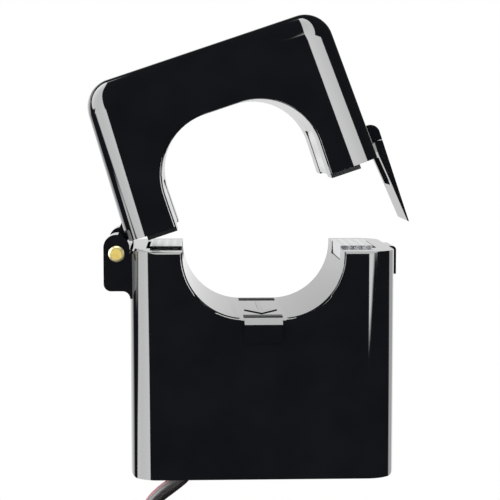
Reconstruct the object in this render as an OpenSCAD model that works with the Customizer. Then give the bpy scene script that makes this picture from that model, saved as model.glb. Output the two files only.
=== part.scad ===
// Split-core current transformer: a box with a hinged upper half and a snap latch.
// It opens to take a cable or busbar into its window, and two leads leave its base.
// Millimetres. X points right, Y points from the front to the back, Z points up.
// The origin is the middle of the window, on the window's axis.

/* [Housing] */
// Width beside the core, from each leg's outer face to the outside
side_room = 4.3; // [3.6:0.1:6.5]
// Depth from front to back
body_d = 40.5; // [38:0.5:50]
// Height of the lower half
lower_h = 51.2; // [50.2:0.2:60]
// Height of the upper half above the parting plane
upper_h = 36.6; // [36.2:0.2:41]
// Wall of the mouldings
wall = 2.1; // [1.9:0.1:2.3]
// Radius of the outer upright edges and of the upper half's top corners
edge_r = 6.4; // [5:0.1:7]
// Radius of the lower half's bottom corners
base_r = 1.5; // [0.5:0.1:1.6]
// Lean of the upper half's sides, in degrees
draft = 2.1; // [0:0.1:2.5]
// Bevel along the lower half's top edges
rim_bevel = 0.5; // [0.2:0.1:0.8]
// Gap left between faces that meet when it shuts
face_gap = 0.1; // [0.05:0.05:0.2]

/* [Window] */
// Width of the window
window_w = 36; // [34:0.5:36.5]
// Height of the window when shut
window_h = 37.2; // [35:0.2:37.4]
// Radius of the window's corners
window_corner_r = 14; // [10:0.1:14.2]
// Distance of the parting plane below the window's middle
split_drop = 3.8; // [2:0.2:4.2]
// Wall of the liner round the upper half of the window
liner_wall = 1.3; // [1:0.1:1.5]
// Height of the liner's feet below the upper case
lip_h = 1; // [0.6:0.1:1.4]
// Width of the liner's feet
lip_w = 6.8; // [3:0.1:7.2]
// Bevel round the window at the front and back
saddle_bevel = 0.5; // [0.2:0.1:0.8]

/* [Thumb tab] */
// Width of the wedge under the window
tab_w = 8.5; // [5:0.1:12]
// Height of the wedge
tab_h = 5.6; // [4:0.1:8]
// How far the wedge stands out at its top
tab_out = 1; // [0.5:0.1:2]

/* [Core] */
// Thickness of the wound strip core
core_t = 7.3; // [5:0.1:7.4]
// Width of the core's strip
core_d = 20; // [14:0.5:21]
// Distance of the core's legs outside the window
core_inset = 0.1; // [0.1:0.05:0.4]
// Inner bend radius of the core
core_bend_r = 2; // [1:0.25:3]
// How far the lower poles stand above the rim
pole_out = 0.5; // [0.2:0.1:0.8]
// Clearance round the core
core_clear = 0.1; // [0.05:0.05:0.2]
// Gap beside each lower pole, towards the outside
pole_slot = 0.9; // [0.3:0.1:1.2]
// Height of the openings that show the core in the window, above the parting plane
upper_notch_h = 11; // [6:0.5:11.5]
// Height of the openings that show the core in the window, below the parting plane
lower_notch_h = 2.85; // [1.5:0.05:4]

/* [Bobbin and winding] */
// Wall of the bobbin's tube
bobbin_wall = 1; // [0.8:0.1:1.4]
// Thickness of the bobbin's cheeks
cheek_t = 1.2; // [0.8:0.1:2]
// Thickness of the wound copper
winding_t = 4.6; // [2.5:0.1:4.8]
// Radius of the winding's corners
winding_r = 4; // [1:0.1:4.4]
// Height of a cheek's edge above the winding
cheek_rim = 0.9; // [0.5:0.1:1.2]
// Thickness of the tape round the winding
tape_t = 0.25; // [0.1:0.05:0.4]
// Diameter of a terminal pin
terminal_d = 0.8; // [0.6:0.1:1]
// Depth of the terminal pins in the cheeks
terminal_seat = 3; // [2:0.1:4]
// Width of the foam pad above the winding
cushion_w = 18; // [12:0.5:24]

/* [Base] */
// Thickness of the base cover
cover_t = 2; // [1.6:0.1:2.4]
// Height of the posts that carry the bobbin
post_h = 5.8; // [5.2:0.1:8]
// Width of a post
post_w = 3; // [2:0.25:4]
// Fit gap between pieces that slot together
fit_gap = 0.05; // [0.03:0.01:0.1]

/* [Circuit board] */
// Thickness of the board
board_t = 1.6; // [0.8:0.1:1.6]
// Depth of the board
board_d = 19.4; // [18:0.2:22]
// Gap between the board and the bobbin
board_gap = 0.6; // [0.4:0.1:0.8]
// Diameter of the burden resistor
resistor_d = 2.4; // [1.6:0.1:2.5]
// Distance of the burden resistor in front of the middle
resistor_y = 5; // [4:0.2:6]
// Length of the burden resistor
resistor_l = 6.6; // [4:0.2:9]
// Diameter of the surge diode
diode_d = 2; // [1.6:0.1:2.5]
// Length of the surge diode
diode_l = 4.4; // [3:0.2:6]
// Diameter of the wires of both
wire_d = 0.6; // [0.4:0.1:0.8]

/* [Hinge] */
// Distance of the pin's axis outside the left side
pin_out = 3; // [2.9:0.1:4.5]
// Distance of the pin's axis below the parting plane
pin_drop = 0.7; // [0.5:0.1:1.5]
// Diameter of the pin
pin_d = 2.4; // [2:0.1:2.8]
// Diameter of the pin's heads
pin_head_d = 3.6; // [3.2:0.1:4]
// Height of a pin's head
pin_head_h = 0.5; // [0.3:0.1:0.8]
// Radial play of the knuckle on the pin
pin_play = 0.06; // [0.03:0.01:0.08]
// Radius of the knuckle
knuckle_r = 2.9; // [2.4:0.05:2.9]
// Length of the knuckle
knuckle_l = 17.4; // [12:0.2:20]
// Thickness of each ear
ear_t = 7.25; // [4:0.25:8]
// Gap between an ear and the knuckle
ear_gap = 0.3; // [0.2:0.05:0.5]
// Radius of the ears' round tops
ear_r = 2.9; // [2.4:0.1:3.4]
// Distance of the centre of the ears' tops above the pin
ear_rise = 1.4; // [0.8:0.1:1.6]
// Drop of the ears below the pin
ear_drop = 8.4; // [6:0.1:12]
// Radius of the ears' lower corners
ear_corner_r = 1.7; // [0.5:0.1:2.2]
// How far the upper half stands open, in degrees
open_angle = 18.6; // [0:0.2:60]

/* [Latch] */
// Width of the latch arm
latch_w = 16; // [13:0.5:20]
// Distance of the arm's outer face from the right side
latch_out = 2.95; // [2.8:0.05:3.4]
// Distance of the arm's inner face from the side at its root
latch_in = 1.05; // [1:0.05:1.2]
// Thickness of the arm at its tip
latch_tip_t = 0.3; // [0.2:0.05:0.4]
// Distance of the arm's tip below the parting plane
latch_drop = 15.8; // [12.5:0.1:16.5]
// Height of the latch's root above the parting plane
latch_root_h = 8.2; // [7.6:0.1:12]
// Radius of the root's upper corner
latch_root_r = 2.2; // [1:0.1:2.6]
// Width of the catch that the arm snaps over
catch_w = 10.4; // [7:0.2:11]
// Height of the catch
catch_h = 6.5; // [4:0.1:7.5]
// How far the catch stands out
catch_out = 1.8; // [1.2:0.05:1.85]
// Clearance of the arm's window round the catch
catch_clear = 0.2; // [0.15:0.05:0.4]
// Clearance of the arm's inner face in front of the catch as the halves close
catch_pass = 0.05; // [0.02:0.01:0.2]

/* [Leads] */
// Diameter of a lead
lead_d = 3; // [2.6:0.1:3]
// How far the grommet stands out below the base
grommet_out = 1; // [0.4:0.1:2]
// Distance between the two leads
lead_pitch = 3.3; // [3.3:0.1:3.6]
// Mean diameter of a lead's coil
coil_d = 36; // [36:0.5:40]
// Layers of turns in a coil
coil_layers = 2; // [1:1:3]
// Turns side by side in a layer
coil_columns = 4; // [3:1:4]
// Length of the stripped tips
tip_l = 6; // [4:0.5:10]
// Diameter of the stripped tips
tip_d = 1.2; // [0.8:0.1:1.6]
// Width of the coils' tie
tie_w = 2.5; // [2:0.1:4]
// Thickness of the coils' tie
tie_t = 1.1; // [0.8:0.1:1.5]
// Width and height of the tie's head
tie_head = 4; // [3:0.1:5]
// How far the tie's head stands out
tie_head_out = 3.1; // [2:0.1:4]
// Distance of the coils' middle below the grommet
coil_hang = 37.2; // [36:0.2:44]

/* [Hidden] */
$fn = 48;
cut = 1;                                     // overshoot of cutting tools past a face

// Levels and half widths of the housing
window_x = window_w/2;                       // half width of the window
window_z = window_h/2;                       // half height of the window
split_z = -split_drop;                       // the parting plane
base_z = split_z - lower_h;
top_z = split_z + upper_h;
half_d = body_d/2;
leg_z = split_z + face_gap + lip_h;          // underside of the upper case
lip_z = split_z + face_gap;                  // underside of the liner's feet
inner_d = body_d - 2*wall;
inner_r = max(edge_r - wall, 0.5);

// Core and winding
core_in = window_x + core_inset;             // inner face of the core's legs
core_out = core_in + core_t;                 // outer face of the core's legs
half_w = core_out + side_room;               // outer side of the lower half
body_w = 2*half_w;
inner_w = body_w - 2*wall;
upper_yoke_z = window_z + liner_wall + 2*core_clear;
cheek_out = core_t/2 + core_clear + bobbin_wall + winding_t + cheek_rim;
cheek_half_d = core_d/2 + core_clear + bobbin_wall + winding_t + cheek_rim;
bobbin_half_l = core_in - core_bend_r - core_clear;
cover_top_z = base_z + cover_t;
yoke_mid_z = cover_top_z + post_h + fit_gap + cheek_out;
lower_pole_z = split_z + pole_out;
upper_pole_z = lower_pole_z + face_gap;
pocket_half_d = core_d/2 + core_clear;

// Board, under the bobbin
board_top_z = yoke_mid_z - cheek_out - board_gap;
board_z = board_top_z - board_t;
terminal_y = [2 - board_d/2, 0.5];           // the pins in each cheek, clear of the leads

// Hinge and latch
pin_x = -half_w - pin_out;
pin_z = split_z - pin_drop;
ear_in = knuckle_l/2 + ear_gap;              // inner face of an ear
ear_end = ear_in + ear_t;                    // outer face of an ear
relief_r = ear_r + ear_rise + 0.35;          // room in the upper case for the ears
latch_joint_r = 2.5;                         // radius of the arm's top about its flexing line
latch_x = half_w + (latch_out + latch_in)/2; // the flexing line
latch_z = leg_z + 0.5;
latch_joint_gap = 0.1;

// Leads: where they leave the base, and where the coils hang
lead_x = -16.5;
black_y = 6 - lead_pitch/2;
red_y = 6 + lead_pitch/2;
grommet_z = base_z - grommet_out;
grommet_wall = 1.3;
coil_x = -8.5;
coil_z = grommet_z - coil_hang;
coil_inner_r = coil_d/2 - coil_layers*lead_d/2;
coil_outer_r = coil_d/2 + coil_layers*lead_d/2;
coil_w = coil_columns*lead_d;

// Route of a lead from the board to its coil, as [x, height above the grommet's mouth]: straight
// down through the base, away to the left, and down again to the coil
lead_drop = [
    [-16.5, 6.4], [-16.5, 0], [-16.7, -1.5], [-17.2, -2.9], [-18, -4.1], [-19.1, -5.1],
    [-21.3, -6.8], [-23.5, -8.5], [-25.4, -10.4], [-26.8, -12.7], [-27.7, -15.2], [-28, -18],
    [-28, -23.2], [-28, -29.2]];
lead_route = [for (p = lead_drop) [p[0], grommet_z + p[1]]];
// Route of its free end below the coil
tail_route = [for (d = [8, 16, 24]) [-28, coil_z - d]];

// ---- shared shapes ----

// A flat shape in X and Z, run from one Y to another
module run_y(y0, y1) translate([0, y1, 0]) rotate([90, 0, 0]) linear_extrude(y1 - y0) children();

// The same, centred on the window's middle plane
module along_y(depth) run_y(-depth/2, depth/2) children();

// A flat shape in Y and Z, run along X from one side to the other
module along_x(width) rotate([90, 0, 90]) translate([0, 0, -width/2]) linear_extrude(width) children();

module round_rect(w, d, r, sides = 48) {
    square([w - 2*r, d], center = true);
    square([w, d - 2*r], center = true);
    for (sx = [-1, 1], sy = [-1, 1])
        translate([sx*(w/2 - r), sy*(d/2 - r)]) circle(r, $fn = sides);
}

module plan_block(w, d, r, z0, z1) translate([0, 0, z0]) linear_extrude(z1 - z0) round_rect(w, d, r);

module both_sides() {
    children();
    mirror([1, 0, 0]) children();
}

module both_ends() {
    children();
    mirror([0, 1, 0]) children();
}

// Swings the upper half from shut to where it stands
module opened() translate([pin_x, 0, pin_z]) rotate([0, -open_angle, 0]) translate([-pin_x, 0, -pin_z])
    children();

function side_x(z) = half_w - (z - split_z)*tan(draft);

// A ball whose outermost points lie exactly on its radius
module ball(r) rotate_extrude() intersection() {
    circle(r);
    translate([0, -r]) square([r, 2*r]);
}

// The window's outline, grown by a wall
module window_outline(grow) round_rect(window_w + 2*grow, window_h + 2*grow, window_corner_r + grow, 96);

// Bevel round the window's edge at the front, as a cutting tool
module window_bevel() {
    b = saddle_bevel + cut;
    r = window_corner_r;
    x = window_x - r;
    z = window_z - r;
    translate([0, -half_d + saddle_bevel, 0]) {
        for (sx = [-1, 1], sz = [-1, 1]) translate([sx*x, 0, sz*z]) rotate([90, 0, 0])
            cylinder(r1 = r, r2 = r + b, h = b, $fn = 96);
        along_x(2*x) polygon([[0, -z - r], [-b, -z - r - b], [-b, z + r + b], [0, z + r]]);
        translate([0, 0, -z]) linear_extrude(2*z)
            polygon([[-x - r, 0], [x + r, 0], [x + r + b, -b], [-x - r - b, -b]]);
    }
}

// ---- lower half ----

module ear_outline() translate([pin_x, pin_z]) {
    reach = pin_out + 1;
    translate([0, ear_rise]) circle(ear_r);
    translate([-ear_r, -ear_drop + ear_corner_r]) square([2*ear_r, ear_drop - ear_corner_r + ear_rise]);
    translate([-ear_r + ear_corner_r, -ear_drop]) square([ear_r - ear_corner_r + reach, ear_drop]);
    translate([-ear_r + ear_corner_r, -ear_drop + ear_corner_r]) circle(ear_corner_r);
    // hollow fillet under the ear, into the housing's side
    translate([pin_out - ear_corner_r, -ear_drop - ear_corner_r]) difference() {
        square([ear_corner_r + 1, ear_corner_r + 0.01]);
        circle(ear_corner_r);
    }
}

module catch_outline() translate([half_w, split_z]) {
    r = catch_out/2;
    translate([-1, -catch_h]) square([1 + catch_out, catch_h - r]);
    translate([-1, -r]) square([1 + catch_out - r, r]);
    translate([catch_out - r, -r]) circle(r);
}

module thumb_tab() {
    tip = 0.3;
    translate([-tab_w/2, -half_d, -window_z]) rotate([90, 0, 90]) linear_extrude(tab_w)
        polygon([[0.5, 0], [-tab_out + tip, 0], [-tab_out, -tip], [-tip, -tab_h], [0.5, -tab_h]]);
}

module lower_outside() intersection() {
    plan_block(body_w, body_d, edge_r, base_z, split_z);
    // rounded bottom corners, seen from the front
    along_y(body_d + 2*cut) {
        translate([-half_w, base_z + base_r]) square([body_w, lower_h - base_r]);
        translate([-half_w + base_r, base_z]) square([body_w - 2*base_r, base_r + 0.01]);
        for (s = [-1, 1]) translate([s*(half_w - base_r), base_z + base_r]) circle(base_r);
    }
    // bevelled top edges, seen from the side
    along_x(body_w + 2*cut)
        polygon([[-half_d, base_z], [half_d, base_z], [half_d, split_z - rim_bevel],
                 [half_d - rim_bevel, split_z], [-half_d + rim_bevel, split_z],
                 [-half_d, split_z - rim_bevel]]);
}

// Room for one leg of the core, right through the rim
module leg_pocket(z0, z1) translate([core_in - core_clear, -pocket_half_d, z0])
    cube([core_t + core_clear + pole_slot, 2*pocket_half_d, z1 - z0]);

module lower_case() color("#17181b") difference() {
    union() {
        lower_outside();
        both_ends() run_y(ear_in, ear_end) ear_outline();
        along_y(catch_w) catch_outline();
        thumb_tab();
    }
    // the window's lower half, bevelled at both ends
    along_y(body_d + 2*cut) window_outline(0);
    both_ends() window_bevel();
    // the hollow for the coil, open below
    difference() {
        plan_block(inner_w, inner_d, inner_r, base_z - cut, split_z - wall);
        along_y(body_d) window_outline(wall);
    }
    both_sides() {
        leg_pocket(yoke_mid_z, split_z + cut);
        // opening that shows the core's leg in the window's side
        translate([window_x/2, -pocket_half_d, split_z - lower_notch_h])
            cube([core_in - window_x/2, 2*pocket_half_d, lower_notch_h + cut]);
    }
    translate([pin_x, 0, pin_z]) rotate([90, 0, 0])
        cylinder(d = pin_d + 2*fit_gap/2, h = 2*(ear_end + cut), center = true);
}

module grommet_outline(grow) {
    r = lead_d/2 + grommet_wall + grow;
    for (y = [black_y, red_y]) translate([lead_x, y]) circle(r);
    translate([lead_x - r, black_y]) square([2*r, red_y - black_y]);
}

grommet_flange = 0.8;

module base_cover() color("#1d1e21") {
    difference() {
        plan_block(inner_w - 2*fit_gap, inner_d - 2*fit_gap, inner_r, base_z, cover_top_z);
        translate([0, 0, base_z - cut]) linear_extrude(cover_t + 2*cut) grommet_outline(fit_gap);
        translate([0, 0, cover_top_z - grommet_flange]) linear_extrude(grommet_flange + cut)
            grommet_outline(grommet_flange + fit_gap);
    }
    // four posts under the bobbin's cheeks
    for (sx = [-1, 1], sy = [-1, 1])
        translate([sx*(bobbin_half_l - cheek_t/2) - post_w/2,
                   sy*(cheek_half_d - post_w/2) - post_w/2, cover_top_z - 0.5])
            cube([post_w, post_w, post_h + 0.5]);
}

module lead_grommet() color("#202124") difference() {
    union() {
        translate([0, 0, grommet_z]) linear_extrude(cover_top_z - fit_gap - grommet_z) grommet_outline(0);
        translate([0, 0, cover_top_z - grommet_flange + fit_gap])
            linear_extrude(grommet_flange - 2*fit_gap) grommet_outline(grommet_flange);
    }
    for (y = [black_y, red_y]) translate([lead_x, y, grommet_z - cut])
        cylinder(d = lead_d + 2*fit_gap, h = cover_top_z - grommet_z + 2*cut);
}

module hinge_pin() color("#d9bd6a") translate([pin_x, 0, pin_z]) {
    rotate([90, 0, 0]) cylinder(d = pin_d, h = 2*ear_end + 2*fit_gap, center = true);
    both_ends() translate([0, -ear_end - fit_gap, 0]) rotate([90, 0, 0]) {
        bevel = (pin_head_d - pin_d)/3;
        cylinder(d = pin_head_d, h = pin_head_h - bevel);
        translate([0, 0, pin_head_h - bevel])
            cylinder(d1 = pin_head_d, d2 = pin_head_d - 2*bevel, h = bevel);
    }
}

// One half of the core: strip wound round a mandrel and cut across both legs
module half_core(yoke_inner, pole) {
    up = yoke_inner > pole ? 1 : -1;
    outer_r = core_bend_r + core_t;
    yoke_outer = yoke_inner + up*core_t;
    difference() {
        union() {
            translate([-core_out, min(pole, yoke_outer - up*outer_r)])
                square([2*core_out, abs(yoke_outer - up*outer_r - pole)]);
            translate([-core_out + outer_r, min(yoke_outer, yoke_outer - up*outer_r)])
                square([2*(core_out - outer_r), outer_r]);
            for (s = [-1, 1]) translate([s*(core_out - outer_r), yoke_outer - up*outer_r]) circle(outer_r);
        }
        translate([-core_in, min(pole - up*cut, yoke_inner - up*core_bend_r)])
            square([2*core_in, abs(yoke_inner - up*core_bend_r - pole + up*cut)]);
        translate([-core_in + core_bend_r, min(yoke_inner, yoke_inner - up*core_bend_r) - 0.01])
            square([2*(core_in - core_bend_r), core_bend_r + 0.01]);
        for (s = [-1, 1]) translate([s*(core_in - core_bend_r), yoke_inner - up*core_bend_r])
            circle(core_bend_r);
    }
}

module lower_core() color("#b9bbbd") along_y(core_d) half_core(yoke_mid_z + core_t/2, lower_pole_z);

module bobbin() color("#e6e1d3") translate([0, 0, yoke_mid_z]) difference() {
    union() {
        along_x(2*bobbin_half_l) square([core_d + 2*core_clear + 2*bobbin_wall,
                                         core_t + 2*core_clear + 2*bobbin_wall], center = true);
        for (s = [-1, 1]) translate([s*(bobbin_half_l - cheek_t/2), 0, 0])
            along_x(cheek_t) round_rect(2*cheek_half_d, 2*cheek_out, 1);
    }
    along_x(2*(bobbin_half_l + cut)) square([core_d + 2*core_clear, core_t + 2*core_clear], center = true);
    terminals();
}

// Terminal pins stand in the cheeks' lower edges and pass through the board
module terminals() for (sx = [-1, 1], y = terminal_y)
    translate([sx*(bobbin_half_l - cheek_t/2), y, board_z - yoke_mid_z - 0.8])
        cylinder(d = terminal_d, h = board_t + board_gap + 0.8 + terminal_seat, $fn = 24);

module terminal_pins() color("#c9c4b4") translate([0, 0, yoke_mid_z]) terminals();

module coil_ring(inside, outside, half_l) along_x(2*half_l) difference() {
    round_rect(core_d + 2*(core_clear + outside), core_t + 2*(core_clear + outside), winding_r);
    square([core_d + 2*(core_clear + inside), core_t + 2*(core_clear + inside)], center = true);
}

winding_half_l = bobbin_half_l - cheek_t - fit_gap;

module secondary_winding() color("#a4582c") translate([0, 0, yoke_mid_z])
    coil_ring(bobbin_wall + fit_gap, bobbin_wall + winding_t - tape_t, winding_half_l);

module winding_tape() color("#d8b13a") translate([0, 0, yoke_mid_z]) along_x(2*winding_half_l)
    difference() {
        inside = bobbin_wall + winding_t - tape_t + fit_gap;
        outside = inside + tape_t;
        round_rect(core_d + 2*(core_clear + outside), core_t + 2*(core_clear + outside), winding_r + tape_t);
        round_rect(core_d + 2*(core_clear + inside), core_t + 2*(core_clear + inside), winding_r);
    }

board_left = lead_x - lead_d/2 - 2;
board_right = bobbin_half_l + 1.5;

module burden_board() color("#2f6b3f") difference() {
    translate([board_left, -board_d/2, board_z]) cube([board_right - board_left, board_d, board_t]);
    for (sx = [-1, 1], y = terminal_y)
        translate([sx*(bobbin_half_l - cheek_t/2), y, board_z - cut])
            cylinder(d = terminal_d + 2*fit_gap, h = board_t + 2*cut, $fn = 24);
}

// A small round component under the board, on two bent wires
module axial_part(d, l, y, body_colour) color(body_colour) translate([0, y, board_z - d/2 - fit_gap]) {
    reach = l/2 + 1.6;
    rotate([0, 90, 0]) cylinder(d = d, h = l, center = true, $fn = 24);
    rotate([0, 90, 0]) cylinder(d = wire_d, h = 2*reach, center = true, $fn = 16);
    for (s = [-1, 1]) translate([s*(reach - wire_d/2), 0, 0]) cylinder(d = wire_d, h = d/2, $fn = 16);
}

module burden_resistor() axial_part(resistor_d, resistor_l, -resistor_y, "#c8b48c");
module surge_diode() axial_part(diode_d, diode_l, 0, "#2b2b2b");

// Foam pad between the coil and the window's floor, which keeps the coil down on its posts
module core_cushion() color("#55585c") difference() {
    pad_z = yoke_mid_z + core_t/2 + core_clear + bobbin_wall + winding_t + 2*fit_gap + 0.1;
    translate([-cushion_w/2, -cushion_w/2, pad_z]) cube([cushion_w, cushion_w, -window_z - pad_z]);
    along_y(body_d) window_outline(wall + fit_gap);
}

// ---- upper half, drawn shut and then swung open ----

// Every outer edge has the same radius, and the sides lean in towards the top
module upper_outside() hull() {
    lean = 1/cos(draft);
    for (sx = [-1, 1], sy = [-1, 1]) {
        translate([sx*(side_x(top_z - edge_r) - edge_r*lean), sy*(half_d - edge_r), top_z - edge_r])
            ball(edge_r);
        translate([sx*(side_x(leg_z) - edge_r*lean), sy*(half_d - edge_r), leg_z])
            cylinder(r = edge_r, h = 0.01);
    }
}

module upper_hollow() intersection() {
    plan_block(inner_w, inner_d, inner_r, leg_z, top_z - wall);
    along_y(body_d) {
        r = inner_r;
        z0 = leg_z + wall;
        z1 = top_z - wall;
        polygon([[-side_x(z0) + wall, z0], [side_x(z0) - wall, z0], [side_x(z1 - r) - wall, z1 - r],
                 [side_x(z1 - r) - wall - r, z1], [-side_x(z1 - r) + wall + r, z1],
                 [-side_x(z1 - r) + wall, z1 - r]]);
    }
}

module knuckle_outline() translate([pin_x, pin_z]) {
    circle(knuckle_r);
    web_z = leg_z - pin_z;
    polygon([[0, knuckle_r*0.9], [pin_out - 1.6, knuckle_r*1.15], [pin_out - 1.3, web_z + 2.8],
             [pin_out, web_z + 4.2], [pin_out + 1, web_z + 4.6], [pin_out + 1, web_z], [knuckle_r*0.75, web_z]]);
}

// The latch's root, with a strip beside the arm that runs down to the case's underside
module latch_root() {
    top = split_z + latch_root_h;
    r = latch_root_r;
    along_y(latch_w) difference() {
        union() {
            translate([half_w - 1.5, latch_z]) square([1.5 + latch_out, top - r - latch_z]);
            translate([half_w - 1.5, latch_z]) square([1.5 + latch_out - r, top - latch_z]);
            translate([half_w + latch_out - r, top - r]) circle(r);
            translate([half_w - 1.5, leg_z]) square([1.5 + latch_in - 0.3, latch_z - leg_z + 0.01]);
        }
        translate([latch_x, latch_z]) circle(latch_joint_r + latch_joint_gap);
    }
}

module upper_case() color("#17181b") opened() difference() {
    union() {
        upper_outside();
        along_y(knuckle_l) knuckle_outline();
        latch_root();
    }
    upper_hollow();
    along_y(body_d + 2*cut) window_outline(0);
    both_ends() window_bevel();
    // seat of the liner between the front and back walls
    along_y(inner_d) window_outline(liner_wall + fit_gap);
    both_sides() translate([core_in - core_clear, -pocket_half_d, leg_z - cut])
        cube([core_t + 2*core_clear, 2*pocket_half_d, wall + 2*cut]);
    // room for the lower half's ears
    both_ends() translate([pin_x, -ear_end - 0.3, pin_z]) rotate([-90, 0, 0])
        cylinder(r = relief_r, h = ear_t + 0.3 + ear_gap);
    translate([pin_x, 0, pin_z]) rotate([90, 0, 0])
        cylinder(d = pin_d + 2*pin_play, h = knuckle_l + 2*cut, center = true);
}

module window_liner() color("#2b2c2f") opened() difference() {
    union() {
        intersection() {
            along_y(inner_d - 2*fit_gap) window_outline(liner_wall);
            translate([-half_w, -half_d, lip_z]) cube([body_w, body_d, top_z]);
        }
        // feet, seen as a lip under each leg
        both_sides() translate([window_x/2, -half_d + 0.2, lip_z])
            cube([window_x/2 + lip_w, body_d - 0.4, lip_h - fit_gap]);
    }
    along_y(body_d + 2*cut) window_outline(0);
    both_sides() {
        translate([core_in - core_clear, -pocket_half_d, lip_z - cut])
            cube([core_t + 2*core_clear, 2*pocket_half_d, top_z]);
        // opening that shows the core's leg in the window's side
        translate([window_x/2, -pocket_half_d, lip_z - cut])
            cube([core_in - window_x/2, 2*pocket_half_d, upper_notch_h + cut - face_gap]);
    }
}

module upper_core() color("#b9bbbd") opened() along_y(core_d) half_core(upper_yoke_z, upper_pole_z);

// Bowed strip that presses the upper core down, so that the poles meet
module core_spring() color("#c6c8ca") opened() {
    strip = 0.4;
    foot_z = upper_yoke_z + core_t + fit_gap;
    rise = top_z - wall - fit_gap - foot_z - strip;
    half_span = core_in - 1;
    r = (half_span*half_span + rise*rise)/(2*rise);
    along_y(core_d*0.6) translate([0, foot_z + rise - r]) intersection() {
        difference() {
            circle(r + strip, $fn = 96);
            circle(r, $fn = 96);
        }
        translate([-half_span, 0]) square([2*half_span, r + 2*strip]);
    }
}

module latch_arm() color("#17181b") opened() difference() {
    along_y(latch_w) {
        tip_z = split_z - latch_drop;
        top = latch_z + latch_joint_r;
        difference() {
            polygon([[half_w + latch_in, top], [half_w + latch_out, top], [half_w + latch_out, tip_z],
                     [half_w + latch_out - latch_tip_t, tip_z + latch_tip_t],
                     [half_w + catch_out + catch_pass, split_z - catch_h - catch_clear],
                     [half_w + latch_in, leg_z]]);
            // round top, which slides in the root as the arm bends
            difference() {
                translate([half_w, top - 1]) square([latch_out + cut, 1 + cut]);
                translate([latch_x, latch_z]) circle(latch_joint_r);
            }
        }
    }
    // window that the catch snaps into
    translate([half_w, -catch_w/2 - catch_clear, split_z - catch_h - catch_clear])
        cube([latch_out + cut, catch_w + 2*catch_clear, catch_h + 2*catch_clear]);
}

// ---- leads ----

// A plain tube along a route in X and Z, with its rings square to the route
module tube(route, y, d) {
    sides = 8;
    n = len(route);
    way = [for (i = [0:n - 1]) let (v = route[min(i + 1, n - 1)] - route[max(i - 1, 0)]) v/norm(v)];
    rings = [for (i = [0:n - 1], k = [0:sides - 1]) let (a = (k + 0.5)*360/sides, s = d/2*cos(a))
        [route[i][0] - way[i][1]*s, y + d/2*sin(a), route[i][1] + way[i][0]*s]];
    walls = [for (i = [0:n - 2], k = [0:sides - 1]) let (j = (k + 1)%sides)
        [i*sides + k, i*sides + j, (i + 1)*sides + j, (i + 1)*sides + k]];
    polyhedron(rings, concat([[for (k = [sides - 1:-1:0]) k]], walls, [[for (k = [0:sides - 1]) (n - 1)*sides + k]]));
}

// The free end leaves the coil at its outermost turn; out is -1 to the front, 1 to the back
function tail_y(y, out) = y + out*(coil_columns - 1)*lead_d;

module lead(y, out) {
    tube(lead_route, y, lead_d);
    tube(tail_route, tail_y(y, out), lead_d);
}

module lead_coil(y, out) translate([coil_x, y + out*(coil_columns - 1)*lead_d/2, coil_z]) rotate([90, 0, 0])
    rotate_extrude($fn = 64) translate([coil_d/2, 0]) round_rect(coil_layers*lead_d, coil_w, 1);

module lead_tip(y, out) let (end = tail_route[len(tail_route) - 1])
    translate([end[0], tail_y(y, out), end[1] - tip_l]) cylinder(d = tip_d, h = tip_l, $fn = 16);

module black_lead() color("#2a2829") lead(black_y, -1);
module red_lead() color("#8d3742") lead(red_y, 1);
module black_coil() color("#2a2829") lead_coil(black_y, -1);
module red_coil() color("#8d3742") lead_coil(red_y, 1);
module black_tip() color("#c9ccce") lead_tip(black_y, -1);
module red_tip() color("#c9ccce") lead_tip(red_y, 1);

// Cable tie round both coils, at the right
module coil_tie() color("#1b1b1c") {
    y0 = black_y + lead_d/2 - coil_w - 0.15;
    y1 = red_y - lead_d/2 + coil_w + 0.15;
    x0 = coil_x + coil_inner_r - 0.15;
    x1 = coil_x + coil_outer_r + 0.15;
    difference() {
        translate([x0 - tie_t, y0 - tie_t, coil_z - tie_w/2])
            cube([x1 - x0 + 2*tie_t, y1 - y0 + 2*tie_t, tie_w]);
        translate([x0, y0, coil_z - tie_w]) cube([x1 - x0, y1 - y0, 2*tie_w]);
    }
    translate([x1 + tie_t/2, (y0 + y1)/2 - tie_head/2, coil_z - tie_head/2])
        cube([tie_t/2 + tie_head_out, tie_head, tie_head]);
}

lower_case();
base_cover();
lead_grommet();
hinge_pin();
lower_core();
bobbin();
terminal_pins();
secondary_winding();
winding_tape();
burden_board();
burden_resistor();
surge_diode();
core_cushion();
upper_case();
window_liner();
upper_core();
core_spring();
latch_arm();
black_lead();
red_lead();
black_coil();
red_coil();
coil_tie();
black_tip();
red_tip();
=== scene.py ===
# %% [markdown]
# # A clamp-on current transformer
# The part is a glossy black box in two halves. The upper half swings on a brass pin, so that a cable can be
# laid into the window without being cut, and a springy arm on the right snaps over a catch to shut it.
# Two leads leave the base and carry the measured current away.
#
# The moulded halves, the pin and the core come from the CAD model. This lesson gives them their finishes,
# and models the leads and the small marks, which the CAD model only roughs out.

# %% Load the frame
import math

import bmesh
import bpy
from mathutils import Matrix, Vector


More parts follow.
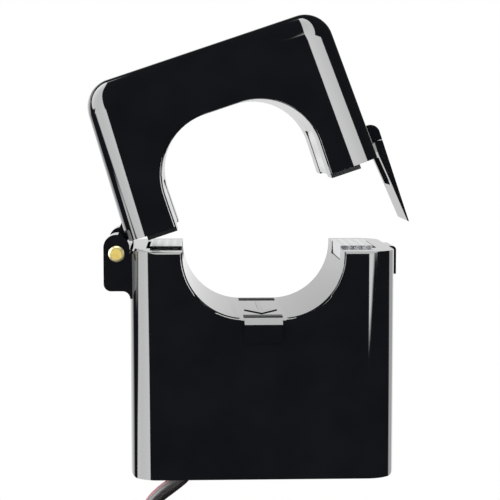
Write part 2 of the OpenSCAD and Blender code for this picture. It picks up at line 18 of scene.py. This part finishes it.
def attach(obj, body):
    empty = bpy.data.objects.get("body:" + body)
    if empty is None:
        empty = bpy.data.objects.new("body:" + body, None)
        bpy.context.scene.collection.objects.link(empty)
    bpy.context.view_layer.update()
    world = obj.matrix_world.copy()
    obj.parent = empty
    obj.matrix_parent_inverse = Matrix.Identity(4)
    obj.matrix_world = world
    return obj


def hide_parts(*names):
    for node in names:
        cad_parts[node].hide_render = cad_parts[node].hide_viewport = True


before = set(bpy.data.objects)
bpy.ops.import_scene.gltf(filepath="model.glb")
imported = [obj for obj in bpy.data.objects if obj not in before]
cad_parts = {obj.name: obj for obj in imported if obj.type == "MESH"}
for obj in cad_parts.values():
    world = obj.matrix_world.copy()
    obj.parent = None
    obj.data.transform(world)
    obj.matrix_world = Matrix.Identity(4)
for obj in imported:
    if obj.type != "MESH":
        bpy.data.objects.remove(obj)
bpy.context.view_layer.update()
scene = bpy.context.scene
print("CAD nodes:", len(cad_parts))

# %% [markdown]
# ## Camera
# The camera stands a little above the middle of the window and a hand's breadth to the left, and looks at
# the front almost squarely through a long lens. A long lens keeps the sides of the box close to parallel.

# %% Camera
CAMERA_AT = (-0.01636, -0.35037, 0.02440)
LOOK_DOWN, LOOK_RIGHT = 4.806, 2.31

lens = bpy.data.cameras.new("camera")
lens.sensor_width = 36
lens.lens = 108.0
lens.clip_start = 0.01
lens.clip_end = 20
camera = bpy.data.objects.new("camera", lens)
camera.location = CAMERA_AT
camera.rotation_euler = (math.radians(90 - LOOK_DOWN), 0, math.radians(-LOOK_RIGHT))
scene.collection.objects.link(camera)
scene.camera = camera
print("camera at", tuple(round(v, 3) for v in camera.location))

# %% [markdown]
# ## The leads
# Each lead is about a metre of limp 3 mm wire with a stripped end. It comes straight out of the grommet,
# curves away and hangs. The length that isn't needed is wound into a neat ring: the turns lie side by side
# and in two layers, and each turn moves over to its next place in its last quarter, as a hand-wound ring
# does. A Bezier curve with automatic handles runs smoothly through its points, so few points are enough.

# %% Points of a lead
MM = 0.001
LEAD_D = 3.0 * MM
GROMMET_Z = -56.0 * MM
COIL_X, COIL_Z = -8.5 * MM, GROMMET_Z - 37.2 * MM
COIL_RADII = (19.5 * MM, 16.5 * MM)
COLUMNS = 4
POINTS_PER_TURN = 20
MOVE_FROM = 0.75
TAIL_X = -28 * MM
TAIL_DEPTHS = (0, 8, 16, 24)

drop = [(-16.5, 6.4), (-16.5, 3), (-16.5, 0), (-16.7, -1.5), (-17.2, -2.9), (-18, -4.1), (-19.1, -5.1),
        (-21.3, -6.8), (-23.5, -8.5), (-25.4, -10.4), (-26.8, -12.7), (-27.7, -15.2), (-28, -18),
        (-28, -23.2), (-28, -29.2), (-28, -33.4)]


def ring_points(y, out):
    """The wound part: one place per turn, as (radius, y), and a move to the next in the last quarter."""
    places = []
    for column in range(COLUMNS):
        radii = COIL_RADII if column % 2 == 0 else COIL_RADII[::-1]
        places += [(r, y + out * column * LEAD_D) for r in radii]
    places.append(places[-1])
    points = []
    for turn in range(len(places) - 1):
        (r0, y0), (r1, y1) = places[turn], places[turn + 1]
        for k in range(POINTS_PER_TURN):
            share = k / POINTS_PER_TURN
            move = max(0.0, (share - MOVE_FROM) / (1 - MOVE_FROM))
            move = move * move * (3 - 2 * move)
            r = r0 + (r1 - r0) * move
            angle = math.pi + 2 * math.pi * share
            points.append((COIL_X + r * math.cos(angle), y0 + (y1 - y0) * move, COIL_Z + r * math.sin(angle)))
    return points


def lead_points(y, out):
    """All points of a lead that leaves the grommet at y and is wound outwards from there."""
    start = [(x * MM, y, GROMMET_Z + dz * MM) for x, dz in drop]
    end_y = y + out * (COLUMNS - 1) * LEAD_D
    tail = [(TAIL_X, end_y, COIL_Z - d * MM) for d in TAIL_DEPTHS]
    return start + ring_points(y, out) + tail


BLACK_Y, RED_Y = 4.35 * MM, 7.65 * MM
black_points = lead_points(BLACK_Y, -1)
red_points = lead_points(RED_Y, 1)
print("points on a lead:", len(black_points))

# %% A lead as a round curve
def lead_curve(name, points):
    data = bpy.data.curves.new(name, "CURVE")
    data.dimensions = "3D"
    data.resolution_u = 4
    data.bevel_depth = 1.0
    data.bevel_resolution = 5
    data.use_fill_caps = True
    line = data.splines.new("BEZIER")
    line.bezier_points.add(len(points) - 1)
    for knot, place in zip(line.bezier_points, points):
        knot.co = place
        knot.radius = LEAD_D / 2
        knot.handle_left_type = knot.handle_right_type = "AUTO"
    piece = bpy.data.objects.new(name, data)
    scene.collection.objects.link(piece)
    return piece


def length_of(points):
    return sum(math.dist(a, b) for a, b in zip(points, points[1:]))


black_cord = lead_curve("black_cord", black_points)
red_cord = lead_curve("red_cord", red_points)
print("a lead is", round(length_of(black_points), 3), "m long")

# %% [markdown]
# ## Stripped ends
# The last 6 mm of each lead is bare: seven tinned strands twisted together. One strand is a small circle
# that is extruded in steps while it turns about the lead's axis, and the spin tool makes exactly that.

# %% Stripped end
STRANDS = 7
TIP_R = 0.6 * MM
STRAND_R = TIP_R / 3
STRAND_SIDES = 10
TUCK = 0.98                                   # the outer strands are pressed a little into the middle one
TWIST, TWIST_STEPS = 150, 16
BARE_L = 6 * MM
TIP_ROOT = 0.5 * MM                           # how far the strands reach up into the insulation


def stripped_end(name, x, y, top, bottom):
    bm = bmesh.new()
    for strand in range(STRANDS):
        off = 0 if strand == 0 else 2 * STRAND_R * TUCK
        around = 2 * math.pi * strand / (STRANDS - 1)
        centre = Vector((off * math.cos(around), off * math.sin(around), top))
        ring = bmesh.ops.create_circle(bm, cap_ends=True, segments=STRAND_SIDES, radius=STRAND_R,
                                       matrix=Matrix.Translation(centre))
        faces = list({f for v in ring["verts"] for f in v.link_faces})
        bmesh.ops.spin(bm, geom=faces + ring["verts"], cent=(0, 0, 0), axis=(0, 0, 1),
                       dvec=(0, 0, (bottom - top) / TWIST_STEPS), angle=math.radians(TWIST),
                       steps=TWIST_STEPS, use_merge=False, use_duplicate=False)
    bmesh.ops.remove_doubles(bm, verts=bm.verts, dist=1e-6)
    bmesh.ops.recalc_face_normals(bm, faces=bm.faces)
    bmesh.ops.translate(bm, verts=bm.verts, vec=(x, y, 0))
    mesh = bpy.data.meshes.new(name)
    bm.to_mesh(mesh)
    bm.free()
    mesh.shade_smooth()
    piece = bpy.data.objects.new(name, mesh)
    scene.collection.objects.link(piece)
    return piece


tip_top = COIL_Z - TAIL_DEPTHS[-1] * MM
tip_span = (tip_top + TIP_ROOT, tip_top - BARE_L)
coil_depth = (COLUMNS - 1) * LEAD_D
black_strands = stripped_end("black_strands", TAIL_X, BLACK_Y - coil_depth, *tip_span)
red_strands = stripped_end("red_strands", TAIL_X, RED_Y + coil_depth, *tip_span)
print("strands at z", round(tip_top, 4))

for cord, tip, y, nodes in (
        (black_cord, black_strands, BLACK_Y, ("black_lead", "black_coil")),
        (red_cord, red_strands, RED_Y, ("red_lead", "red_coil"))):
    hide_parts(*nodes)
    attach(cord, "base")
    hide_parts(nodes[0].replace("lead", "tip"))
    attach(tip, "base")

# %% [markdown]
# ## The skins of the two halves
# A polished moulding mirrors the room, so its rounded edges have to be perfectly smooth. The CAD model
# rounds the upper half with many narrow flats, and its small bevels are flat where a mould has a radius.
# Merged copies of both halves are shaded smooth across such edges: the narrow flats turn by less than 25
# degrees, and the bevels round the window by 45. A weighted normal modifier keeps the large faces flat
# right up to where they start to round.

# %% Both halves, shaded smooth
NARROW_FLATS, WINDOW_BEVELS = 25, 50
WINDOW_REACH = 20.5 * MM
LOWER_WINDOW = (0, 0)
UPPER_WINDOW = (-3.1 * MM, 10.2 * MM)         # where the window's middle is while the lid stands open
TAB_REACH, TAB_FRONT, TAB_TOP = 5 * MM, -19 * MM, -17.1 * MM


def smooth_skin(name, body, window):
    """A merged copy of a CAD node, smooth across its narrow flats and the bevels round its window."""
    bm = bmesh.new()
    bm.from_mesh(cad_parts[name].data)
    bmesh.ops.remove_doubles(bm, verts=bm.verts, dist=1e-6)
    bmesh.ops.dissolve_limit(bm, angle_limit=math.radians(0.5), verts=bm.verts, edges=bm.edges)
    for face in bm.faces:
        face.smooth = True
    for edge in bm.edges:
        at_window = all(math.dist((v.co.x, v.co.z), window) < WINDOW_REACH for v in edge.verts)
        at_tab = any(abs(v.co.x) < TAB_REACH and v.co.y < TAB_FRONT and v.co.z < TAB_TOP
                     for v in edge.verts)
        limit = math.radians(WINDOW_BEVELS if at_window and not at_tab else NARROW_FLATS)
        edge.smooth = len(edge.link_faces) == 2 and edge.calc_face_angle() < limit
    mesh = bpy.data.meshes.new(name + "_skin")
    bm.to_mesh(mesh)
    bm.free()
    skin = bpy.data.objects.new(name + "_skin", mesh)
    scene.collection.objects.link(skin)
    weighted = skin.modifiers.new("flat_faces_stay_flat", "WEIGHTED_NORMAL")
    weighted.weight = 100
    weighted.thresh = 1e-7                    # it compares areas in square metres, which are tiny here
    weighted.keep_sharp = True
    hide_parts(name)
    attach(skin, body)
    return skin


upper_skin = smooth_skin("upper_case", "lid", UPPER_WINDOW)
lower_skin = smooth_skin("lower_case", "base", LOWER_WINDOW)
print("faces of the skins:", len(upper_skin.data.polygons), len(lower_skin.data.polygons))

# %% [markdown]
# ## Marks on the window's floor
# The floor of the window carries raised marks that show which way the current should run. They are plain
# here: an arrow towards the front between two pairs of bars. They stand 0.2 mm high and reach 0.2 mm into
# the floor, as marks cut into the mould would leave them.

# %% Marks on the window's floor
FLOOR_Z = -18.6 * MM
MARK_H = 0.2 * MM
MARK_ROOT = 0.2 * MM
MARK_MID = FLOOR_Z + (MARK_H - MARK_ROOT) / 2
BARS_Y = (-17.6, -15.2, 15.2, 17.6)           # these sizes are in millimetres
BAR_W, BAR_L = 8.8, 0.6
SHAFT_Y, SHAFT_W, SHAFT_L = 3, 1.2, 17
HEAD_Y, HEAD_R = -7.6, 4.4


def block(bm, x, y, wide, long):
    """A flat raised bar, centred at x, y."""
    size = (wide * MM, long * MM, MARK_H + MARK_ROOT)
    place = Vector((x * MM, y * MM, MARK_MID))
    bmesh.ops.create_cube(bm, size=1.0, matrix=Matrix.Translation(place) @ Matrix.Diagonal((*size, 1)))


bm = bmesh.new()
for y in BARS_Y:
    block(bm, 0, y, BAR_W, BAR_L)
block(bm, 0, SHAFT_Y, SHAFT_W, SHAFT_L)
bmesh.ops.create_cone(bm, cap_ends=True, segments=3, radius1=HEAD_R * MM, radius2=HEAD_R * MM,
                      depth=MARK_H + MARK_ROOT,
                      matrix=Matrix.Translation((0, HEAD_Y * MM, MARK_MID))
                      @ Matrix.Rotation(math.radians(180), 4, "Z"))
bmesh.ops.recalc_face_normals(bm, faces=bm.faces)
mesh = bpy.data.meshes.new("floor_marks")
bm.to_mesh(mesh)
bm.free()
floor_marks = bpy.data.objects.new("floor_marks", mesh)
scene.collection.objects.link(floor_marks)
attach(floor_marks, "base")
print("faces of the marks:", len(mesh.polygons))

# %% [markdown]
# ## Materials
# Every finish starts from what the real one is. One function turns a colour as it is written on screen
# into the linear light that the shader wants, and one adds a node with its settings and links.

# %% Helpers for materials
def linear(colour):
    """An sRGB hex colour as linear red, green, blue and alpha."""
    parts = [int(colour[i:i + 2], 16) / 255 for i in (1, 3, 5)]
    return tuple(c / 12.92 if c <= 0.04045 else ((c + 0.055) / 1.055) ** 2.4 for c in parts) + (1.0,)


def node(tree, kind, links=None, **settings):
    """Adds a shader node. settings are its properties; links gives each input a socket or a value."""
    made = tree.nodes.new("ShaderNode" + kind)
    for name, value in settings.items():
        setattr(made, name, value)
    for name, value in (links or {}).items():
        if isinstance(value, bpy.types.NodeSocket):
            tree.links.new(value, made.inputs[name])
        else:
            made.inputs[name].default_value = value
    return made


def material(name):
    """A new material with a surface shader, and the object coordinates that its patterns read."""
    made = bpy.data.materials.new(name)
    made.use_nodes = True
    tree = made.node_tree
    place = node(tree, "TexCoord").outputs["Object"]
    return made, tree, tree.nodes["Principled BSDF"], place


def colours(tree, factor, *stops):
    """A colour ramp with (position, hex colour) stops."""
    ramp = node(tree, "ValToRGB", {"Fac": factor})
    marks = ramp.color_ramp.elements
    while len(marks) < len(stops):
        marks.new(0.5)
    for mark, (position, colour) in zip(marks, stops):
        mark.position = position
        mark.color = linear(colour)
    return ramp.outputs["Color"]


def between(tree, factor, low, high):
    """Carries a factor of 0 to 1 over to low to high."""
    return node(tree, "MapRange", {"Value": factor, "To Min": low, "To Max": high}).outputs["Result"]


print("linear mid grey:", [round(c, 3) for c in linear("#808080")])

# %% [markdown]
# ### Glossy moulded ABS
# The housing is black ABS from a polished mould: a deep black that mirrors whatever stands around it.
# The mirror isn't perfect. A moulded wall is very slightly wavy over some 12 mm, and handling leaves faint
# dull patches, so a slow noise bends the surface a little and another varies its roughness.

# %% Glossy moulded ABS
def moulded_abs(name, dark, light, rough):
    made, tree, surface, place = material(name)
    patches = node(tree, "TexNoise", {"Vector": place, "Scale": 1 / 0.009, "Detail": 3.0}).outputs["Fac"]
    waves = node(tree, "TexNoise", {"Vector": place, "Scale": 1 / 0.012, "Detail": 1.0}).outputs["Fac"]
    tree.links.new(colours(tree, patches, (0.35, dark), (0.65, light)), surface.inputs["Base Color"])
    tree.links.new(between(tree, patches, rough * 0.8, rough * 1.3), surface.inputs["Roughness"])
    bump = node(tree, "Bump", {"Height": waves, "Strength": 0.03, "Distance": 0.0002})
    tree.links.new(bump.outputs["Normal"], surface.inputs["Normal"])
    surface.inputs["IOR"].default_value = 1.52
    return made


case_black = moulded_abs("glossy_moulded_abs", "#15161a", "#191a1e", 0.03)
liner_black = moulded_abs("glossy_moulded_abs_liner", "#1d1e21", "#232427", 0.12)
print(case_black.name, liner_black.name)

# %% [markdown]
# ### Matt moulded ABS
# The base cover comes from a spark-eroded mould, which prints a fine grain into it. Real grit is about
# 0.05 mm; it is drawn at 0.2 mm so that it shows.

# %% Matt moulded ABS
def eroded_abs(name, dark, light):
    made, tree, surface, place = material(name)
    grit = node(tree, "TexNoise", {"Vector": place, "Scale": 1 / 0.0002, "Detail": 2.0}).outputs["Fac"]
    tree.links.new(colours(tree, grit, (0.3, dark), (0.7, light)), surface.inputs["Base Color"])
    tree.links.new(between(tree, grit, 0.5, 0.7), surface.inputs["Roughness"])
    bump = node(tree, "Bump", {"Height": grit, "Strength": 0.4, "Distance": 0.00003})
    tree.links.new(bump.outputs["Normal"], surface.inputs["Normal"])
    return made


cover_black = eroded_abs("eroded_abs", "#17181a", "#212225")
rubber_black = eroded_abs("soft_rubber", "#151517", "#202124")
nylon_black = eroded_abs("tie_nylon", "#141415", "#1f1f20")
print(cover_black.name)

# %% [markdown]
# ### Turned brass
# The hinge pin is turned brass. Its head is a disc with a bright peened ring round it and, in between, a
# groove darkened with painted shade, and fine rings, one every 0.15 mm, run round its axis. All of it follows
# the distance to that axis.

# %% Turned brass
PIN_X, PIN_Z = -32.7 * MM, -4.5 * MM
PIN_R = 1.9 * MM


def turned_brass(name):
    made, tree, surface, place = material(name)
    flat = node(tree, "Mapping", {"Vector": place, "Location": (-PIN_X, 0, -PIN_Z), "Scale": (1, 0, 1)})
    far = node(tree, "VectorMath", {0: flat.outputs["Vector"]}, operation="LENGTH").outputs["Value"]
    share = node(tree, "Math", {0: far, 1: PIN_R}, operation="DIVIDE").outputs[0]
    # The dark stop at 0.67 darkens the head's groove: painted shade, not a darker brass.
    zones_and_groove_shade = colours(tree, share, (0.0, "#c4ab58"), (0.6, "#cdb764"), (0.67, "#93803f"), (0.74, "#d9cfa6"),
                    (0.93, "#d3c898"), (1.0, "#a8945a"))
    stain = node(tree, "TexNoise", {"Vector": place, "Scale": 1 / 0.0015, "Detail": 3.0}).outputs["Fac"]
    shade = colours(tree, stain, (0.3, "#e8e8e8"), (0.7, "#ffffff"))
    tone = node(tree, "Mix", {"Factor": 1.0, 6: zones_and_groove_shade, 7: shade}, data_type="RGBA", blend_type="MULTIPLY")
    tree.links.new(tone.outputs[2], surface.inputs["Base Color"])
    tree.links.new(between(tree, stain, 0.32, 0.45), surface.inputs["Roughness"])
    turns = node(tree, "Math", {0: far, 1: 2 * math.pi / 0.00015}, operation="MULTIPLY").outputs[0]
    rings = node(tree, "Math", {0: turns}, operation="SINE").outputs[0]
    bump = node(tree, "Bump", {"Height": rings, "Strength": 0.1, "Distance": 0.00001})
    tree.links.new(bump.outputs["Normal"], surface.inputs["Normal"])
    surface.inputs["Metallic"].default_value = 0.5
    return made


pin_brass = turned_brass("turned_brass")
print(pin_brass.name)

# %% [markdown]
# ### Wound core strip
# The core is silicon steel strip wound on a mandrel and cut through both legs. Its pole faces are ground,
# and the edges of the strip show on them as fine lines, one every 0.3 mm, that run from front to back.

# %% Wound core strip
def strip_steel(name, dark, light, rough, metal):
    made, tree, surface, place = material(name)
    lines = node(tree, "TexWave", {"Vector": place, "Scale": 1 / (0.0003 * 20), "Distortion": 0.4,
                                   "Detail": 1.0}, wave_type="BANDS", bands_direction="X").outputs["Fac"]
    cloud = node(tree, "TexNoise", {"Vector": place, "Scale": 1 / 0.002, "Detail": 3.0}).outputs["Fac"]
    mixed = node(tree, "Math", {0: lines, 1: cloud}, operation="MULTIPLY").outputs[0]
    tree.links.new(colours(tree, mixed, (0.1, dark), (0.6, light)), surface.inputs["Base Color"])
    tree.links.new(between(tree, cloud, rough * 0.8, rough * 1.2), surface.inputs["Roughness"])
    bump = node(tree, "Bump", {"Height": lines, "Strength": 0.1, "Distance": 0.00002})
    tree.links.new(bump.outputs["Normal"], surface.inputs["Normal"])
    surface.inputs["Metallic"].default_value = metal
    return made


core_steel = strip_steel("wound_core_strip", "#7f8184", "#b4b6b8", 0.14, 1.0)
spring_steel = strip_steel("spring_strip", "#b4b6b8", "#cccecf", 0.3, 1.0)
tinned_wire = strip_steel("tinned_wire", "#b8b4a6", "#d2cebf", 0.3, 1.0)
print(core_steel.name)

# %% [markdown]
# ### Enamelled copper winding
# The secondary is thousands of turns of enamelled wire. The wire runs round the core's leg, so its lines
# lie across X, and they are drawn 0.3 mm apart.

# %% Inner finishes
def lined(name, dark, light, pitch, direction, rough, metal=0.0):
    made, tree, surface, place = material(name)
    lines = node(tree, "TexWave", {"Vector": place, "Scale": 1 / (pitch * 20)},
                 wave_type="BANDS", bands_direction=direction).outputs["Fac"]
    cloud = node(tree, "TexNoise", {"Vector": place, "Scale": 1 / 0.004, "Detail": 2.0}).outputs["Fac"]
    mixed = node(tree, "Math", {0: lines, 1: cloud}, operation="MULTIPLY").outputs[0]
    tree.links.new(colours(tree, mixed, (0.1, dark), (0.6, light)), surface.inputs["Base Color"])
    tree.links.new(between(tree, cloud, rough * 0.8, rough * 1.2), surface.inputs["Roughness"])
    bump = node(tree, "Bump", {"Height": lines, "Strength": 0.5, "Distance": 0.00005})
    tree.links.new(bump.outputs["Normal"], surface.inputs["Normal"])
    surface.inputs["Metallic"].default_value = metal
    return made


copper_wire = lined("enamelled_copper", "#7d3f1d", "#b5662f", 0.0003, "X", 0.3, 0.9)
yellow_tape = lined("polyester_tape", "#c59d2c", "#dfba48", 0.004, "X", 0.35)
nylon_natural = lined("glass_filled_nylon", "#d9d3c2", "#e9e4d7", 0.006, "Z", 0.5)
board_green = lined("epoxy_board", "#27603a", "#357548", 0.0025, "Y", 0.4)
resistor_tan = lined("lacquered_resistor", "#b9a57c", "#d0bd94", 0.0022, "X", 0.45)
diode_black = lined("moulded_diode", "#202020", "#2c2c2c", 0.0044, "X", 0.45)
foam_grey = lined("closed_cell_foam", "#4b4e52", "#5d6064", 0.0008, "Y", 0.9)
print("inner finishes made")

# %% [markdown]
# ### PVC insulation
# The leads are extruded PVC with a soft sheen. Extrusion leaves faint lengthwise streaks and a slight
# waviness every few millimetres.

# %% PVC insulation
def pvc(name, dark, light):
    made, tree, surface, place = material(name)
    cloud = node(tree, "TexNoise", {"Vector": place, "Scale": 1 / 0.003, "Detail": 3.0}).outputs["Fac"]
    tree.links.new(colours(tree, cloud, (0.3, dark), (0.7, light)), surface.inputs["Base Color"])
    tree.links.new(between(tree, cloud, 0.32, 0.46), surface.inputs["Roughness"])
    bump = node(tree, "Bump", {"Height": cloud, "Strength": 0.2, "Distance": 0.00005})
    tree.links.new(bump.outputs["Normal"], surface.inputs["Normal"])
    return made


pvc_black = pvc("black_pvc", "#1f1d1e", "#2a2829")
pvc_red = pvc("red_pvc", "#7c2935", "#8d3742")
print(pvc_black.name, pvc_red.name)

# %% Give every piece its finish
finishes = {
    "lower_case": case_black, "upper_case": case_black, "latch_arm": case_black,
    "window_liner": liner_black, "base_cover": cover_black, "lead_grommet": rubber_black,
    "hinge_pin": pin_brass, "lower_core": core_steel, "upper_core": core_steel,
    "core_spring": spring_steel, "bobbin": nylon_natural, "terminal_pins": tinned_wire,
    "secondary_winding": copper_wire, "winding_tape": yellow_tape, "burden_board": board_green,
    "burden_resistor": resistor_tan, "surge_diode": diode_black, "core_cushion": foam_grey,
    "coil_tie": nylon_black, "black_lead": pvc_black, "red_lead": pvc_red, "black_coil": pvc_black,
    "red_coil": pvc_red, "black_tip": tinned_wire, "red_tip": tinned_wire,
}


def finish_with(piece, finish):
    """Puts one finish in every material slot of a piece, and adds a slot if there is none."""
    slots = piece.data.materials
    for i in range(len(slots)):
        slots[i] = finish
    if not slots:
        slots.append(finish)


for name, finish in finishes.items():
    finish_with(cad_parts[name], finish)
modelled_here = [(upper_skin, case_black), (lower_skin, case_black), (floor_marks, liner_black),
                 (black_cord, pvc_black), (red_cord, pvc_red),
                 (black_strands, tinned_wire), (red_strands, tinned_wire)]
for piece, finish in modelled_here:
    finish_with(piece, finish)
print("finished", len(finishes), "CAD nodes and", len(modelled_here), "pieces modelled here")

# %% [markdown]
# ## Light
# Two things light the part. A soft lamp and an even sky give the plain light that paints each colour. The
# gloss needs something to mirror, because black plastic shows almost nothing of its own colour: it shows
# the room. So the world holds a small studio that only mirrors see, of bright panels in a dark room.

# %% Plain lamp
LAMP_SIZE, LAMP_LEVEL = 1.6, 1.2

lamp_data = bpy.data.lights.new("plain_lamp", "AREA")
lamp_data.shape = "RECTANGLE"
lamp_data.size = lamp_data.size_y = LAMP_SIZE
lamp_data.energy = LAMP_LEVEL * math.pi * LAMP_SIZE ** 2
plain_lamp = bpy.data.objects.new("plain_lamp", lamp_data)
plain_lamp.location = (-0.634, -1.36, 1.1)
plain_lamp.rotation_euler = (math.radians(90), 0, math.radians(-25))
plain_lamp.visible_glossy = False
scene.collection.objects.link(plain_lamp)
print("lamp:", plain_lamp.name)

# %% [markdown]
# ### The studio that mirrors see
# A panel is a flat shape far away, and each of its edges lies on a great circle of the sky. A direction is
# inside when it is on the inner side of every edge, so the smallest of those distances tells how deep it
# lies, and a short ramp at zero gives the panel a soft border. Corners are written as azimuth to the right
# of the front and elevation, in degrees, anticlockwise as the part sees them.

# %% Panels
world = bpy.data.worlds.new("studio")
scene.world = world
world.use_nodes = True
tree = world.node_tree
direction = node(tree, "TexCoord").outputs["Generated"]
DARK_ROOM = 0.02
BORDER = 0.012


def toward(azimuth, elevation):
    """The direction of a place in the sky. Azimuth 0 is straight in front of the part."""
    a, e = math.radians(azimuth), math.radians(elevation)
    return Vector((math.sin(a) * math.cos(e), -math.cos(a) * math.cos(e), math.sin(e)))


def panel(level, *corners, border=BORDER):
    """A bright panel in the sky, as a socket that gives its level in each direction."""
    rays = [toward(*corner) for corner in corners]
    depth = None
    for start, end in zip(rays, rays[1:] + rays[:1]):
        edge = node(tree, "VectorMath", {0: direction, 1: start.cross(end).normalized()},
                    operation="DOT_PRODUCT").outputs["Value"]
        depth = edge if depth is None else node(tree, "Math", {0: depth, 1: edge},
                                                operation="MINIMUM").outputs[0]
    return node(tree, "MapRange", {"Value": depth, "From Min": -border, "From Max": border, "To Min": 0.0,
                                   "To Max": level}).outputs["Result"]


soft_boxes = [
    # The left soft box, below and above the horizon, and the line of its lower rail
    panel(1.0, (-98, -14.5), (-70, -20.5), (-33, -22), (-39.5, -10), (-45.5, -3), (-88, -3)),
    panel(1.0, (-106, -4), (-44, -4), (-57, 22), (-117, 58.5), (-145, 53.5), (-156, 46)),
    panel(0.8, (-94, -21.5), (-83.5, -21.5), (-83.5, -18), (-94, -18)),
    # The right soft box, and the boom that carries it on overhead
    panel(1.0, (9.4, -8.1), (68, 0.4), (80, 9), (65, 20.5), (8.6, 30)),
    panel(1.0, (9.6, 5.5), (40, 12), (53, 29.7), (71, 49), (133, 64), (-173, 63.5), (-163, 52.5),
          (-6.5, 34.5)),
]
reflectors = [
    # Low reflectors beside and behind the part
    panel(2.6, (-105, -6.4), (-94, -6.4), (-94, -2), (-105, -2)),
    panel(2.0, (-162, -35), (-122, -35), (-126, 11), (-162, 11)),
    panel(2.6, (111, -14), (128, -14), (128, -1), (111, -1)),
    panel(1.6, (128, -14), (160, -14), (160, -1), (128, -1)),
    # The white sheet behind the part, and the pale ceiling
    panel(1.0, (160, -60), (-130, -60), (-130, 20), (160, 20), border=0.03),
    panel(2.6, (0, 81), (90, 81), (180, 81), (-90, 81), border=0.03),
]
print("panels:", len(soft_boxes) + len(reflectors))

# %% [markdown]
# ### Who sees what
# The background is plain white, and only the camera sees it everywhere. Mirrors see the panels, of which
# the soft boxes grow dimmer towards the back of the room, and all else gets an even sky.

# %% World
FRONT_LEVEL, BACK_LEVEL = 13.0, 4.8
EVEN_SKY, BACKDROP = 0.6, 1.0


def brightest(*lights):
    found = lights[0]
    for light in lights[1:]:
        found = node(tree, "Math", {0: found, 1: light}, operation="MAXIMUM").outputs[0]
    return found


depth = node(tree, "SeparateXYZ", {"Vector": direction}).outputs["Y"]
dimmed = node(tree, "MapRange", {"Value": depth, "From Min": -1.0, "To Min": FRONT_LEVEL,
                                 "To Max": BACK_LEVEL}).outputs["Result"]
boxes = node(tree, "Math", {0: brightest(*soft_boxes), 1: dimmed}, operation="MULTIPLY").outputs[0]
studio = brightest(boxes, *reflectors, DARK_ROOM)
ray = node(tree, "LightPath")
mirror = node(tree, "Math", {0: ray.outputs["Is Glossy Ray"], 1: ray.outputs["Is Transmission Ray"]},
              operation="MAXIMUM").outputs[0]
room = node(tree, "Mix", {"Factor": mirror, "A": EVEN_SKY, "B": studio},
            data_type="FLOAT").outputs["Result"]
level = node(tree, "Mix", {"Factor": ray.outputs["Is Camera Ray"], "A": room, "B": BACKDROP},
             data_type="FLOAT")
background = tree.nodes["Background"]
background.inputs["Color"].default_value = (1, 1, 1, 1)
tree.links.new(level.outputs["Result"], background.inputs["Strength"])
scene.view_settings.view_transform = "Standard"
print("world ready")

# %% [markdown]
# ## End
# The view layer is brought up to date at the end.

# %% End
bpy.context.view_layer.update()
